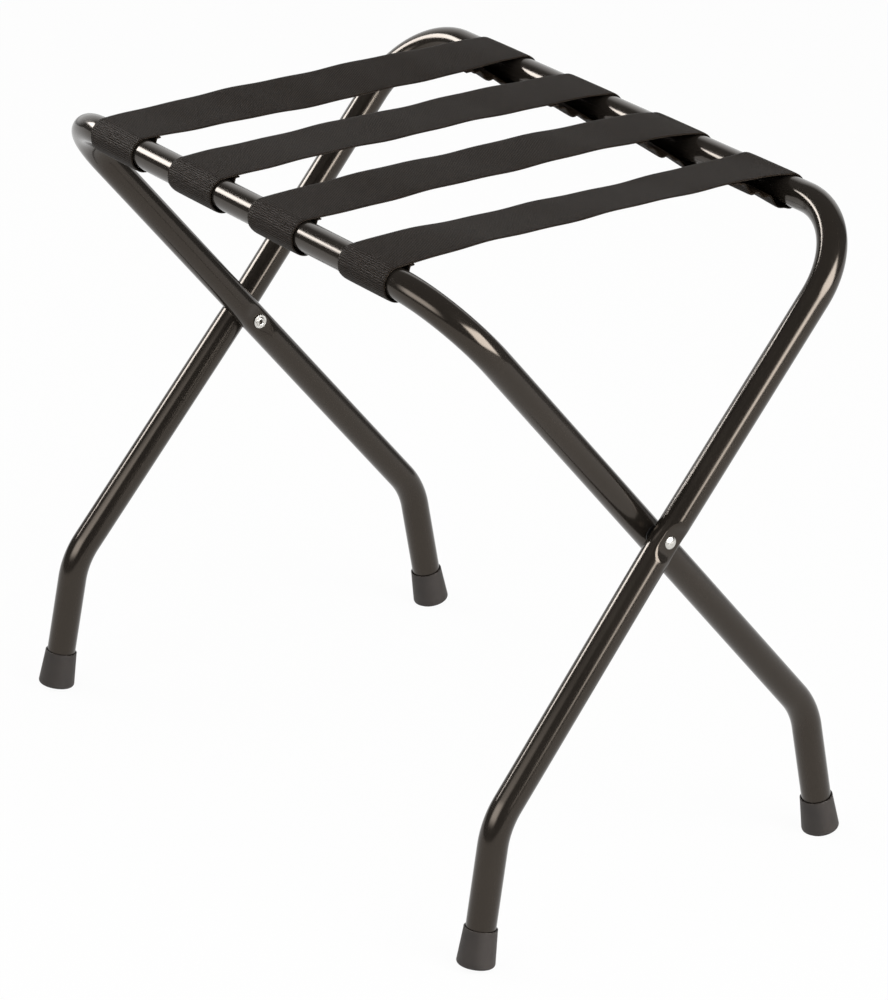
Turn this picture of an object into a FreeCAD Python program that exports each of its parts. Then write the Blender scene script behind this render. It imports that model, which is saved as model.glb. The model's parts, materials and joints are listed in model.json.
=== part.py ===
import FreeCAD, Part
import Sketcher
import math
import os

# Folding luggage bench: two crossed tube frames, four webbing straps, riveted pivots and rubber tips.
#
# Millimetres. +Z is up, +X runs along the top bars, and the origin lies on the floor midway between the feet.
# The inner frame carries the front bar (-Y) and stands on the rear feet. The outer frame carries the rear bar
# (+Y), stands on the front feet, and turns about the rivets, which lie along X through the crossing of the legs.

Vector = FreeCAD.Vector

SIZES = (
    ("tube_dia", 22.2, "outside diameter of the frame tube, seven eighths of an inch"),
    ("tube_wall", 1.2, "wall of the frame tube"),
    ("inner_width", 510.8, "inner frame, leg to leg between the tube axes"),
    ("bar_height", 487.5, "axis of both top bars above the floor"),
    ("bar_reach", 170.2, "axis of each top bar from the middle plane"),
    ("pivot_height", 284, "rivets above the floor"),
    ("knee_height", 105, "corner between leg and foot above the floor"),
    ("foot_reach", 169, "where the axis of a foot meets the floor, from the middle plane"),
    ("knee_splay", 6.8, "how far each outer leg has moved outwards at the knee"),
    ("foot_splay", 9.65, "how far each outer leg has moved outwards at the floor"),
    ("corner_bend", 63.5, "bend between bar and leg, to the tube axis"),
    ("knee_bend", 62, "bend between leg and foot, to the tube axis"),
    ("leg_gap", 0.8, "gap between the two tubes at the pivot"),
    ("running_gap", 0.05, "clearance beside a rivet and at each turning face"),
    ("dent_depth", 4.3, "flat dent pressed into the outer tube under the rivet head"),
    ("seat_depth", 2, "flat seat pressed into the inner tube under the clinch washer"),
    ("press_land", 10, "length of the pressed flat along the leg"),
    ("press_nose", 12.6, "edge radius of the pressing tool"),
    ("rivet_dia", 6.3, "shank of the pivot rivet"),
    ("rivet_head_dia", 9.5, "domed head of the rivet"),
    ("rivet_head_rise", 1.8, "height of the domed head"),
    ("rivet_roll_dia", 7.4, "rolled end of the rivet"),
    ("rivet_roll_rise", 1.1, "height of the rolled end"),
    ("rivet_roll_edge", 0.5, "bevel round the rolled end"),
    ("rivet_bore_dia", 3, "blind bore in the rolled end"),
    ("rivet_bore_depth", 7, "depth of that bore from the clinch washer"),
    ("clinch_dia", 11, "washer under the rolled end"),
    ("clinch_thick", 1, "thickness of that washer"),
    ("spacer_dia", 15, "washer between the two tubes"),
    ("tip_sole_dia", 28.6, "rubber tip at the sole, before its edge is bevelled"),
    ("tip_rim_dia", 24.2, "rubber tip at the rim"),
    ("tip_length", 28.5, "rubber tip from sole to rim"),
    ("tip_floor", 6, "rubber under the end of the tube"),
    ("tip_edge", 2, "bevelled edge of the sole"),
    ("tip_lead", 0.4, "chamfer inside the rim"),
    ("tip_tube_gap", 0.05, "clearance of the tip round the tube"),
    ("sole_lift", 1.2, "middle of the tilted sole above the floor, the worn edge bears"),
    ("strap_width", 57.5, "width of the webbing, two and a quarter inches"),
    ("strap_thick", 1.5, "thickness of the webbing"),
    ("strap_margin", 91.9, "middle of an end strap in from the axis of the inner leg beside it"),
    ("strap_sag", 1, "sag of a strap halfway between the bars"),
    ("wrap_gap", 0.3, "clearance of the webbing round a bar"),
    ("front_seam_reach", 14, "from the front bar's axis in to where its tight loop closes"),
    ("rear_seam_reach", 47, "from the rear bar's axis in to where its loose loop closes"),
    ("seam_lap", 25, "length of the sewn lap under the strap"),
)
STRAP_COUNT = 4
TOLERANCE = 1e-6
SIDES = (("left", -1), ("right", 1))

doc = FreeCAD.newDocument("luggage_bench")
sheet = doc.addObject("Spreadsheet::Sheet", "sizes")
for row, (alias, number, meaning) in enumerate(SIZES, 1):
    sheet.set("A%d" % row, meaning)
    sheet.set("B%d" % row, str(number))
    sheet.setAlias("B%d" % row, alias)
doc.recompute()


def size(expression):
    """Value of an expression of the sheet's sizes, such as sizes.tube_dia / 2."""
    return float(sheet.evalExpression(expression))


def bind(sketch, constraint, expression):
    """Adds a dimension to the sketch and ties it to the sheet."""
    index = sketch.addConstraint(constraint)
    sketch.setExpression("Constraints[%d]" % index, expression)


def cut(name, base, tool):
    feature = doc.addObject("Part::Cut", name)
    feature.Base = base
    feature.Tool = tool
    return feature


TUBE_RADIUS = size("sizes.tube_dia / 2")
INNER_HALF = size("sizes.inner_width / 2")
OUTER_HALF = size("sizes.inner_width / 2 + sizes.tube_dia + sizes.leg_gap")
PIVOT_HEIGHT = size("sizes.pivot_height")
# A leg is straight from its bar through the pivot to its knee, so its slope sets how far out the knee lies.
LEG_SLOPE = size("sizes.bar_reach / (sizes.bar_height - sizes.pivot_height)")
KNEE_REACH = LEG_SLOPE * size("sizes.pivot_height - sizes.knee_height")


# ---- tube frames -------------------------------------------------------------------------------------------

class Leg:
    """Axis points of one leg of a frame: side is -1 left or 1 right, bar is -1 front or 1 rear."""

    def __init__(self, side, bar, half_width, knee_splay, foot_splay):
        foot_reach = size("sizes.foot_reach")
        self.corner = Vector(side * half_width, bar * size("sizes.bar_reach"), size("sizes.bar_height"))
        self.pivot = Vector(side * half_width, 0, PIVOT_HEIGHT)
        self.knee = Vector(side * (half_width + knee_splay), -bar * KNEE_REACH, size("sizes.knee_height"))
        self.floor = Vector(side * (half_width + foot_splay), -bar * foot_reach, 0)
        self.rise = (self.knee - self.floor).normalize()
        self.sole = self.floor + self.rise * (size("sizes.sole_lift") / self.rise.z)
        self.end = self.sole + self.rise * size("sizes.tip_floor")


def inner_leg(side):
    return Leg(side, -1, INNER_HALF, 0, 0)


def outer_leg(side):
    return Leg(side, 1, OUTER_HALF, size("sizes.knee_splay"), size("sizes.foot_splay"))


def bent_wire(points, radii):
    """Straight runs between the points, joined at each inner point by a tangent arc of its radius.

    A radius of None leaves the runs meeting at the point itself.
    """
    edges = []
    start = points[0]
    for before, corner, after, radius in zip(points, points[1:], points[2:], radii):
        if radius is None:
            edges.append(Part.LineSegment(start, corner).toShape())
            start = corner
            continue
        back = (before - corner).normalize()
        onward = (after - corner).normalize()
        half_angle = back.getAngle(onward) / 2
        inward = (back + onward).normalize()
        run = radius / math.tan(half_angle)
        arc_start = corner + back * run
        arc_middle = corner + inward * (radius / math.sin(half_angle) - radius)
        arc_end = corner + onward * run
        edges.append(Part.LineSegment(start, arc_start).toShape())
        edges.append(Part.Arc(arc_start, arc_middle, arc_end).toShape())
        start = arc_end
    edges.append(Part.LineSegment(start, points[-1]).toShape())
    return Part.Wire(edges)


def frame_route(name, legs, splayed):
    """Axis of a whole frame from the left foot over the bar to the right foot.

    A splayed leg turns outwards at the pivot by a degree or two, too little to need a bend of its own.
    """
    left, right = legs
    knee, corner = size("sizes.knee_bend"), size("sizes.corner_bend")
    if splayed:
        points = [left.end, left.knee, left.pivot, left.corner, right.corner, right.pivot, right.knee, right.end]
        radii = [knee, None, corner, corner, None, knee]
    else:
        points = [left.end, left.knee, left.corner, right.corner, right.knee, right.end]
        radii = [knee, corner, corner, knee]
    route = doc.addObject("Part::Feature", name + "_route")
    route.Shape = bent_wire(points, radii)
    return route


def swept_rod(name, route, radius):
    """Round rod along the route, its radius bound to the sheet."""
    ring = doc.addObject("Part::Circle", name + "_ring")
    ring.setExpression("Radius", radius)
    start = route.Shape.Edges[0].valueAt(route.Shape.Edges[0].FirstParameter)
    direction = route.Shape.Edges[0].tangentAt(route.Shape.Edges[0].FirstParameter)
    ring.Placement = FreeCAD.Placement(start, FreeCAD.Rotation(Vector(0, 0, 1), direction))
    rod = doc.addObject("Part::Sweep", name)
    rod.Sections = [ring]
    rod.Spine = (route, ["Edge%d" % number for number in range(1, len(route.Shape.Edges) + 1)])
    rod.Solid = True
    rod.Transition = "Right corner"
    return rod


def press_tool(name, leg, outward, depth, allowance):
    """Tool that presses a flat into a tube at the pivot: a flat nose with rounded ends, across the tube.

    The allowance is 0 for the outer skin and the wall for the bore, so the pressed wall keeps its thickness.
    """
    nose = "(sizes.press_nose + %s)" % allowance
    floor = "(sizes.tube_dia / 2 - %s - %s)" % (depth, allowance)
    height = "(%s + sizes.tube_dia)" % nose
    low, radius, land = size(floor), size(nose), size("sizes.press_land / 2")
    high, middle = low + size(height), low + radius
    sketch = doc.addObject("Sketcher::SketchObject", name + "_nose")
    sketch.addGeometry([
        Part.LineSegment(Vector(-land, low, 0), Vector(land, low, 0)),
        Part.ArcOfCircle(Part.Circle(Vector(land, middle, 0), Vector(0, 0, 1), radius), -math.pi / 2, 0),
        Part.LineSegment(Vector(land + radius, middle, 0), Vector(land + radius, high, 0)),
        Part.LineSegment(Vector(land + radius, high, 0), Vector(-land - radius, high, 0)),
        Part.LineSegment(Vector(-land - radius, high, 0), Vector(-land - radius, middle, 0)),
        Part.ArcOfCircle(Part.Circle(Vector(-land, middle, 0), Vector(0, 0, 1), radius), math.pi, 1.5 * math.pi),
    ], False)
    sketch.addConstraint([
        Sketcher.Constraint("Tangent", 0, 2, 1, 1),
        Sketcher.Constraint("Tangent", 1, 2, 2, 1),
        Sketcher.Constraint("Coincident", 2, 2, 3, 1),
        Sketcher.Constraint("Coincident", 3, 2, 4, 1),
        Sketcher.Constraint("Tangent", 4, 2, 5, 1),
        Sketcher.Constraint("Tangent", 5, 2, 0, 1),
        Sketcher.Constraint("Symmetric", 0, 1, 0, 2, -2),
        Sketcher.Constraint("Vertical", 2),
        Sketcher.Constraint("Horizontal", 3),
        Sketcher.Constraint("Vertical", 4),
    ])
    bind(sketch, Sketcher.Constraint("DistanceX", 0, 1, 0, 2, 2 * land), "sizes.press_land")
    bind(sketch, Sketcher.Constraint("DistanceY", -1, 1, 0, 1, low), floor)
    bind(sketch, Sketcher.Constraint("DistanceY", 0, 2, 2, 2, high - low), height)
    bind(sketch, Sketcher.Constraint("Radius", 1, radius), nose)
    along = (leg.corner - leg.pivot).normalize()
    across = along.cross(outward)
    sketch.Placement = FreeCAD.Placement(leg.pivot, FreeCAD.Rotation(along, outward, across, "XYZ"))
    tool = doc.addObject("Part::Extrusion", name)
    tool.Base = sketch
    tool.DirMode = "Normal"
    tool.Solid = True
    tool.Symmetric = True
    tool.setExpression("LengthFwd", "2 * sizes.tube_dia")
    return tool


def tube_frame(name, legs, splayed, facing, depth):
    """Bent tube with a flat pressed into each leg at the pivot and a hole for the rivet through both walls.

    facing is 1 where the flats look away from the middle of the bench and -1 where they look inwards.
    """
    route = frame_route(name, legs, splayed)
    skin = swept_rod(name + "_skin", route, "sizes.tube_dia / 2")
    core = swept_rod(name + "_core", route, "sizes.tube_dia / 2 - sizes.tube_wall")
    for (side_name, side), leg in zip(SIDES, legs):
        outward = Vector(side * facing, 0, 0)
        skin_tool = press_tool("%s_skin_press_%s" % (name, side_name), leg, outward, depth, "0")
        core_tool = press_tool("%s_core_press_%s" % (name, side_name), leg, outward, depth, "sizes.tube_wall")
        skin = cut("%s_skin_pressed_%s" % (name, side_name), skin, skin_tool)
        core = cut("%s_core_pressed_%s" % (name, side_name), core, core_tool)
    tube = cut(name + "_tube", skin, core)
    return cut(name, tube, rivet_drill)


def drill():
    """Straight drill along the pivot line, right through both frames."""
    rod = doc.addObject("Part::Cylinder", "rivet_drill")
    rod.setExpression("Radius", "sizes.rivet_dia / 2 + sizes.running_gap")
    rod.setExpression("Height", "2 * sizes.inner_width")
    rod.setExpression("Placement.Base.x", "-sizes.inner_width")
    rod.setExpression("Placement.Base.z", "sizes.pivot_height")
    rod.Placement.Rotation = FreeCAD.Rotation(Vector(0, 0, 1), Vector(1, 0, 0))
    return rod


# ---- turned and flat small pieces ----------------------------------------------------------------------------

def origin_plane(body, role):
    return [plane for plane in body.Origin.OriginFeatures if plane.Role == role][0]


def body_sketch(name, role):
    """A new body and a sketch on one of its own origin planes."""
    body = doc.addObject("PartDesign::Body", name)
    sketch = body.newObject("Sketcher::SketchObject", name + "_profile")
    sketch.AttachmentSupport = [(origin_plane(body, role), "")]
    sketch.MapMode = "FlatFace"
    return body, sketch


def draw_outline(sketch, corners, dome):
    """Closed outline, anticlockwise, with every corner bound to the sheet.

    The edge that leaves corner number dome is an arc whose centre lies on the sketch's vertical axis.
    """
    spots = [Vector(size(across), size(up), 0) for across, up in corners]
    for number, spot in enumerate(spots):
        onward = spots[(number + 1) % len(spots)]
        if number == dome:
            sketch.addGeometry(axial_arc(spot, onward), False)
        else:
            sketch.addGeometry(Part.LineSegment(spot, onward), False)
    for number, (across, up) in enumerate(corners):
        before = (number - 1) % len(corners)
        sketch.addConstraint(Sketcher.Constraint("Coincident", before, 2, number, 1))
        hold_point(sketch, number, 1, spots[number], across, up)
    if dome is not None:
        sketch.addConstraint(Sketcher.Constraint("PointOnObject", dome, 3, -2))


def axial_arc(start, end):
    """Arc between two points whose centre lies on the vertical axis."""
    middle = (start + end) / 2
    chord = end - start
    centre = Vector(0, middle.y + middle.x * chord.x / chord.y, 0)
    angles = [math.atan2(point.y - centre.y, point.x - centre.x) for point in (start, end)]
    return Part.ArcOfCircle(Part.Circle(centre, Vector(0, 0, 1), (start - centre).Length), *angles)


def hold_point(sketch, edge, end, spot, across, up):
    """Holds one end of an edge at its place: on an axis of the sketch where that place is 0."""
    if across == "0":
        sketch.addConstraint(Sketcher.Constraint("PointOnObject", edge, end, -2))
    else:
        bind(sketch, Sketcher.Constraint("DistanceX", -1, 1, edge, end, spot.x), across)
    if up == "0":
        sketch.addConstraint(Sketcher.Constraint("PointOnObject", edge, end, -1))
    else:
        bind(sketch, Sketcher.Constraint("DistanceY", -1, 1, edge, end, spot.y), up)


def turned(name, corners, dome=None):
    """Body turned about its own Z from half a section, given as (radius, height) corners."""
    body, sketch = body_sketch(name, "XZ_Plane")
    draw_outline(sketch, corners, dome)
    turning = body.newObject("PartDesign::Revolution", name + "_turning")
    turning.Profile = sketch
    turning.ReferenceAxis = (sketch, ["V_Axis"])
    return body, turning


def round_edge(feature, radius, height):
    """Name of the feature's circular edge of this radius at this height."""
    for number, edge in enumerate(feature.Shape.Edges, 1):
        if not isinstance(edge.Curve, Part.Circle):
            continue
        if max(abs(edge.Curve.Radius - radius), abs(edge.Curve.Center.z - height)) < TOLERANCE:
            return "Edge%d" % number
    raise ValueError("no such edge")


def place_on_pivot(body, side, distance):
    """Stands a body on the pivot line at this distance from the middle, its Z pointing outwards."""
    facing = FreeCAD.Rotation(Vector(0, 0, 1), Vector(side, 0, 0))
    body.Placement = FreeCAD.Placement(Vector(side * distance, 0, PIVOT_HEIGHT), facing)


CLINCH_FACE = size("sizes.inner_width / 2 - sizes.tube_dia / 2 + sizes.seat_depth - sizes.clinch_thick")


def pivot_rivet(side_name, side):
    """Semi-tubular rivet: domed head in the outer tube's dent, rolled end on the clinch washer."""
    head_face = ("sizes.rivet_roll_rise + 2 * sizes.tube_dia + sizes.leg_gap + sizes.running_gap"
                 " + sizes.clinch_thick - sizes.dent_depth - sizes.seat_depth")
    bore_end = "sizes.rivet_roll_rise + sizes.rivet_bore_depth"
    corners = [
        ("0", bore_end),
        ("sizes.rivet_bore_dia / 2", bore_end),
        ("sizes.rivet_bore_dia / 2", "0"),
        ("sizes.rivet_roll_dia / 2 - sizes.rivet_roll_edge", "0"),
        ("sizes.rivet_roll_dia / 2", "sizes.rivet_roll_edge"),
        ("sizes.rivet_roll_dia / 2", "sizes.rivet_roll_rise"),
        ("sizes.rivet_dia / 2", "sizes.rivet_roll_rise"),
        ("sizes.rivet_dia / 2", head_face),
        ("sizes.rivet_head_dia / 2", head_face),
        ("0", head_face + " + sizes.rivet_head_rise"),
    ]
    body, _ = turned("pivot_rivet_" + side_name, corners, len(corners) - 2)
    place_on_pivot(body, side, CLINCH_FACE - size("sizes.rivet_roll_rise"))
    return body


def washer(name, outer_dia, thickness):
    """Flat ring round the rivet's shank."""
    body, sketch = body_sketch(name, "XY_Plane")
    for number, radius in enumerate((outer_dia + " / 2", "sizes.rivet_dia / 2 + sizes.running_gap")):
        sketch.addGeometry(Part.Circle(Vector(0, 0, 0), Vector(0, 0, 1), size(radius)), False)
        sketch.addConstraint(Sketcher.Constraint("Coincident", number, 3, -1, 1))
        bind(sketch, Sketcher.Constraint("Radius", number, size(radius)), radius)
    pad = body.newObject("PartDesign::Pad", name + "_pad")
    pad.Profile = sketch
    pad.setExpression("Length", thickness)
    return body


def clinch_washer(side_name, side):
    """Zinc washer between the inner tube's seat and the rivet's rolled end."""
    body = washer("clinch_washer_" + side_name, "sizes.clinch_dia", "sizes.clinch_thick")
    place_on_pivot(body, side, CLINCH_FACE)
    return body


def spacer_washer(side_name, side):
    """Thin washer that keeps the two tubes from rubbing off their coating."""
    body = washer("spacer_washer_" + side_name, "sizes.spacer_dia", "sizes.leg_gap - sizes.running_gap")
    place_on_pivot(body, side, INNER_HALF + TUBE_RADIUS)
    return body


# ---- rubber tips ---------------------------------------------------------------------------------------------

def foot_tip(name, leg):
    """Rubber ferrule: a cone with a blind bore, square to the tube, with its low edge worn flat on the floor."""
    bore = "sizes.tube_dia / 2 + sizes.tip_tube_gap"
    body, turning = turned(name + "_moulding", [
        ("0", "0"),
        ("sizes.tip_sole_dia / 2", "0"),
        ("sizes.tip_rim_dia / 2", "sizes.tip_length"),
        (bore, "sizes.tip_length"),
        (bore, "sizes.tip_floor"),
        ("0", "sizes.tip_floor"),
    ])
    doc.recompute()
    sole = body.newObject("PartDesign::Chamfer", name + "_sole_edge")
    sole.Base = (turning, [round_edge(turning, size("sizes.tip_sole_dia / 2"), 0)])
    sole.setExpression("Size", "sizes.tip_edge")
    doc.recompute()
    rim = body.newObject("PartDesign::Chamfer", name + "_rim_lead")
    rim.Base = (sole, [round_edge(sole, size(bore), size("sizes.tip_length"))])
    rim.setExpression("Size", "sizes.tip_lead")
    body.Tip = rim
    body.Placement = FreeCAD.Placement(leg.sole, FreeCAD.Rotation(Vector(0, 0, 1), leg.rise))
    return cut(name, body, floor_slab)


def slab_under_floor():
    """Everything below the floor plane, as deep as a tip is long."""
    slab = doc.addObject("Part::Box", "floor_slab")
    slab.setExpression("Length", "2 * sizes.inner_width")
    slab.setExpression("Width", "4 * sizes.foot_reach")
    slab.setExpression("Height", "sizes.tip_length")
    slab.setExpression("Placement.Base.x", "-sizes.inner_width")
    slab.setExpression("Placement.Base.y", "-2 * sizes.foot_reach")
    slab.setExpression("Placement.Base.z", "-sizes.tip_length")
    return slab


# ---- webbing straps ------------------------------------------------------------------------------------------

class StrapLine:
    """Side view of a strap in the YZ plane: the sagging span and, at each bar, the wrap and the seam."""

    def __init__(self):
        self.inside = size("sizes.tube_dia / 2 + sizes.wrap_gap")
        self.thick = size("sizes.strap_thick")
        self.reach = size("sizes.bar_reach")
        sag = size("sizes.strap_sag")
        # The underside of the span is an arc about a point high above the bench, tangent to both wraps.
        self.under = (self.reach ** 2 + sag ** 2) / (2 * sag) - self.inside
        self.height = size("sizes.bar_height") + self.under + self.inside - sag

    def on_span(self, radius, across):
        """Point of a circle about the span's centre, this far across from the middle plane."""
        return Vector(0, across, self.height - math.sqrt(radius ** 2 - across ** 2))

    def span_arc(self, radius, start, end):
        middle = self.on_span(radius, (start.y + end.y) / 2)
        return Part.Arc(start, middle, end).toShape()

    def loop(self, bar):
        """Points of the loop round one bar, -1 front or 1 rear."""
        bar_axis = Vector(0, bar * self.reach, size("sizes.bar_height"))
        upward = (Vector(0, 0, self.height) - bar_axis).normalize()
        seam_reach = size("sizes.%s_seam_reach" % ("front" if bar < 0 else "rear"))
        closing = self.on_span(self.under, bar * (self.reach - seam_reach))
        sight = closing - bar_axis
        turn = math.degrees(math.acos(self.inside / sight.Length))
        leaving = FreeCAD.Rotation(Vector(bar, 0, 0), turn).multVec(sight.normalize())
        outside = self.inside + self.thick
        back = (upward + leaving).normalize() * -1
        return bar_axis, upward, leaving, back, closing, outside

    def wrap_arc(self, bar_axis, radius, start, back, end):
        return Part.Arc(bar_axis + start * radius, bar_axis + back * radius, bar_axis + end * radius).toShape()

    def hole(self, bar):
        """Teardrop hole that the bar passes through."""
        bar_axis, upward, leaving, back, closing, _ = self.loop(bar)
        top = bar_axis + upward * self.inside
        low = bar_axis + leaving * self.inside
        return Part.Wire([
            self.span_arc(self.under, closing, top),
            self.wrap_arc(bar_axis, self.inside, upward, back, leaving),
            Part.LineSegment(low, closing).toShape(),
        ])

    def lower_edges(self, bar):
        """Outer edges from the span's top round the bar to the end of the sewn lap."""
        bar_axis, upward, leaving, back, closing, outside = self.loop(bar)
        low = bar_axis + leaving * outside
        rising = (closing - bar_axis - leaving * self.inside).normalize()
        lap_radius = self.under + self.thick
        centre = Vector(0, 0, self.height)
        # The rising layer's underside meets the lap's underside where it reaches the lap's own circle.
        offset = low - centre
        along = offset.dot(rising)
        step = -along - math.sqrt(along ** 2 - offset.dot(offset) + lap_radius ** 2)
        if step < 0:
            step = -along + math.sqrt(along ** 2 - offset.dot(offset) + lap_radius ** 2)
        joint = low + rising * step
        lap_across = closing.y - bar * size("sizes.seam_lap")
        lap_low = self.on_span(lap_radius, lap_across)
        lap_top = centre + (lap_low - centre).normalize() * self.under
        edges = [
            self.wrap_arc(bar_axis, outside, upward, back, leaving),
            Part.LineSegment(low, joint).toShape(),
            self.span_arc(lap_radius, joint, lap_low),
            Part.LineSegment(lap_low, lap_top).toShape(),
        ]
        return edges, bar_axis + upward * outside, lap_top

    def face(self):
        front_edges, front_top, front_lap = self.lower_edges(-1)
        rear_edges, rear_top, rear_lap = self.lower_edges(1)
        edges = front_edges + rear_edges
        edges.append(self.span_arc(self.under - self.thick, front_top, rear_top))
        edges.append(self.span_arc(self.under, front_lap, rear_lap))
        outline = Part.Wire(Part.__sortEdges__(edges))
        return Part.makeFace([outline, self.hole(-1), self.hole(1)], "Part::FaceMakerBullseye")


def strap(number, section):
    """One closed loop of webbing, as wide as the section is drawn out along the bars."""
    band = doc.addObject("Part::Extrusion", "strap_%d" % (number + 1))
    band.Base = section
    band.DirMode = "Custom"
    band.Dir = Vector(1, 0, 0)
    band.Solid = True
    band.Symmetric = True
    band.setExpression("LengthFwd", "sizes.strap_width")
    share = number / (STRAP_COUNT - 1) - 0.5
    band.setExpression("Placement.Base.x", "%.9f * (sizes.inner_width - 2 * sizes.strap_margin)" % share)
    return band


# ---- assembly ------------------------------------------------------------------------------------------------

inner_legs = [inner_leg(side) for _, side in SIDES]
outer_legs = [outer_leg(side) for _, side in SIDES]
rivet_drill = drill()
floor_slab = slab_under_floor()
strap_section = doc.addObject("Part::Feature", "strap_section")
strap_section.Shape = StrapLine().face()

parts = [
    tube_frame("inner_frame", inner_legs, False, -1, "sizes.seat_depth"),
    tube_frame("outer_frame", outer_legs, True, 1, "sizes.dent_depth"),
]
for (side_name, side), inner, outer in zip(SIDES, inner_legs, outer_legs):
    parts.append(pivot_rivet(side_name, side))
    parts.append(clinch_washer(side_name, side))
    parts.append(spacer_washer(side_name, side))
    parts.append(foot_tip("foot_tip_inner_" + side_name, inner))
    parts.append(foot_tip("foot_tip_outer_" + side_name, outer))
for number in range(STRAP_COUNT):
    parts.append(strap(number, strap_section))
doc.recompute()

for item in doc.Objects:
    if "Invalid" in item.State or "Error" in item.State:
        raise RuntimeError("%s failed: %s" % (item.Name, item.State))
for part in parts:
    if part.Shape.isNull() or not part.Shape.isValid() or len(part.Shape.Solids) != 1:
        raise RuntimeError("%s is not one valid solid" % part.Label)

# A swept rod's volume is its section times its length, and a pressed one is a little less.
for name in ("inner_frame", "outer_frame"):
    length = doc.getObject(name + "_route").Shape.Length
    for rod, radius in ((name + "_skin", TUBE_RADIUS), (name + "_core", TUBE_RADIUS - size("sizes.tube_wall"))):
        share = doc.getObject(rod).Shape.Volume / (math.pi * radius ** 2 * length)
        print("%s: %.1f mm long, volume %.6f of section times length" % (rod, length, share))

os.makedirs("parts", exist_ok=True)
for part in parts:
    part.Shape.exportStep("parts/%s.step" % part.Label)
    print("%-24s %9.1f mm3" % (part.Label, part.Shape.Volume))
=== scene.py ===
# %% [markdown]
# # A folding luggage bench
#
# The bench is two bent tube frames that cross like scissors, four straps of webbing sewn round the two top
# bars, and the small things that hold it together: rivets, washers and rubber tips. The CAD model already
# fixes where everything is. This lesson dresses it: smooth tubes, ribbed webbing, turned metal and moulded
# rubber, each with a finish of its own.

import json
import math

import bpy
from mathutils import Matrix, Vector


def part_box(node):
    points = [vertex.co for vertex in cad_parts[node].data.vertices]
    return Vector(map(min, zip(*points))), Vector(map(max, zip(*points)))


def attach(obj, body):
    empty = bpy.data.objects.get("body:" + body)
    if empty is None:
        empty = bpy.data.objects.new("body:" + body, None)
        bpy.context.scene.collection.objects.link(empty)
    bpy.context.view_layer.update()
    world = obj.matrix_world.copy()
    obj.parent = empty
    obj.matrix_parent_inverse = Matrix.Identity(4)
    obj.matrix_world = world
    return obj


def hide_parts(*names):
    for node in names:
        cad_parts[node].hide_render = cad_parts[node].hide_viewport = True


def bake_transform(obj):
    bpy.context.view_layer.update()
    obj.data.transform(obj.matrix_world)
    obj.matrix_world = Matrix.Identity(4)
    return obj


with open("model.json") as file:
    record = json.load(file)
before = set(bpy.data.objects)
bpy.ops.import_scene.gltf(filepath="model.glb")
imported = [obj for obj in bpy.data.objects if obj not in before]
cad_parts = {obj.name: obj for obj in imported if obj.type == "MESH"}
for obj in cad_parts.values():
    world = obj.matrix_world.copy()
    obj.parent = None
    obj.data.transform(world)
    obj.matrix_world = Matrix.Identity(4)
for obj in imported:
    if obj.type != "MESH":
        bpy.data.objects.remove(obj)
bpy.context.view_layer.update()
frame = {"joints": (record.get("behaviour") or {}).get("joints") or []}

# %% [markdown]
# ## Sizes
#
# A maker would take the main sizes off the finished frames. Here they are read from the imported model, so
# the dressing follows if the model changes. What can't be read from a box, such as a bend's radius, is
# written once, in millimetres, and turned to metres.

# %% Sizes
MM = 0.001
TUBE_RADIUS = 11.1 * MM
LEG_GAP = 0.8 * MM
CORNER_BEND = 63.5 * MM
KNEE_BEND = 62 * MM
KNEE_HEIGHT = 105 * MM
FOOT_REACH = 169 * MM
KNEE_SPLAY = 6.8 * MM
FOOT_SPLAY = 9.65 * MM
SOLE_LIFT = 1.2 * MM
TIP_FLOOR = 6 * MM
RUNNING_GAP = 0.05 * MM
DENT_DEPTH = 4.3 * MM
SEAT_DEPTH = 2 * MM
CLINCH_THICK = 1 * MM

inner_low, inner_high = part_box("inner_frame")
BAR_HEIGHT = inner_high.z - TUBE_RADIUS
BAR_REACH = -inner_low.y - TUBE_RADIUS
INNER_HALF = inner_high.x - TUBE_RADIUS
OUTER_HALF = INNER_HALF + 2 * TUBE_RADIUS + LEG_GAP
PIVOT_HEIGHT = frame["joints"][0]["pos_m"][2]
KNEE_REACH = BAR_REACH * (PIVOT_HEIGHT - KNEE_HEIGHT) / (BAR_HEIGHT - PIVOT_HEIGHT)
SIDES = (("left", -1), ("right", 1))
print("bars %.1f mm high and %.1f mm from the middle" % (BAR_HEIGHT / MM, BAR_REACH / MM))

# %% [markdown]
# ## One small helper for nodes
#
# Materials and Geometry Nodes trees are both webs of nodes. One function adds a node, sets its own
# settings, and fills its inputs with plain values or with the sockets that feed them. Colours are written
# the way a paint maker's chart gives them, as sRGB hex, and one function turns them to the linear light
# that Blender works in.

# %% Helpers for nodes and colours
def add_node(tree, kind, inputs=None, **settings):
    """Adds a node; inputs maps a socket's name or number to a value or to a socket to link from."""
    node = tree.nodes.new(kind)
    for name, value in settings.items():
        setattr(node, name, value)
    for key, value in (inputs or {}).items():
        if isinstance(value, bpy.types.NodeSocket):
            tree.links.new(value, node.inputs[key])
        else:
            node.inputs[key].default_value = value
    return node


def linear(hex_colour):
    """Linear RGBA of an sRGB hex colour such as #34302d."""
    channels = [int(hex_colour[start:start + 2], 16) / 255 for start in (1, 3, 5)]
    return [c / 12.92 if c <= 0.04045 else ((c + 0.055) / 1.055) ** 2.4 for c in channels] + [1]


def new_material(name):
    """An empty node material and its tree."""
    material = bpy.data.materials.new(name)
    material.use_nodes = True
    material.node_tree.nodes.clear()
    return material, material.node_tree


print("mid grey #808080 is %.3f in linear light" % linear("#808080")[0])

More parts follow.
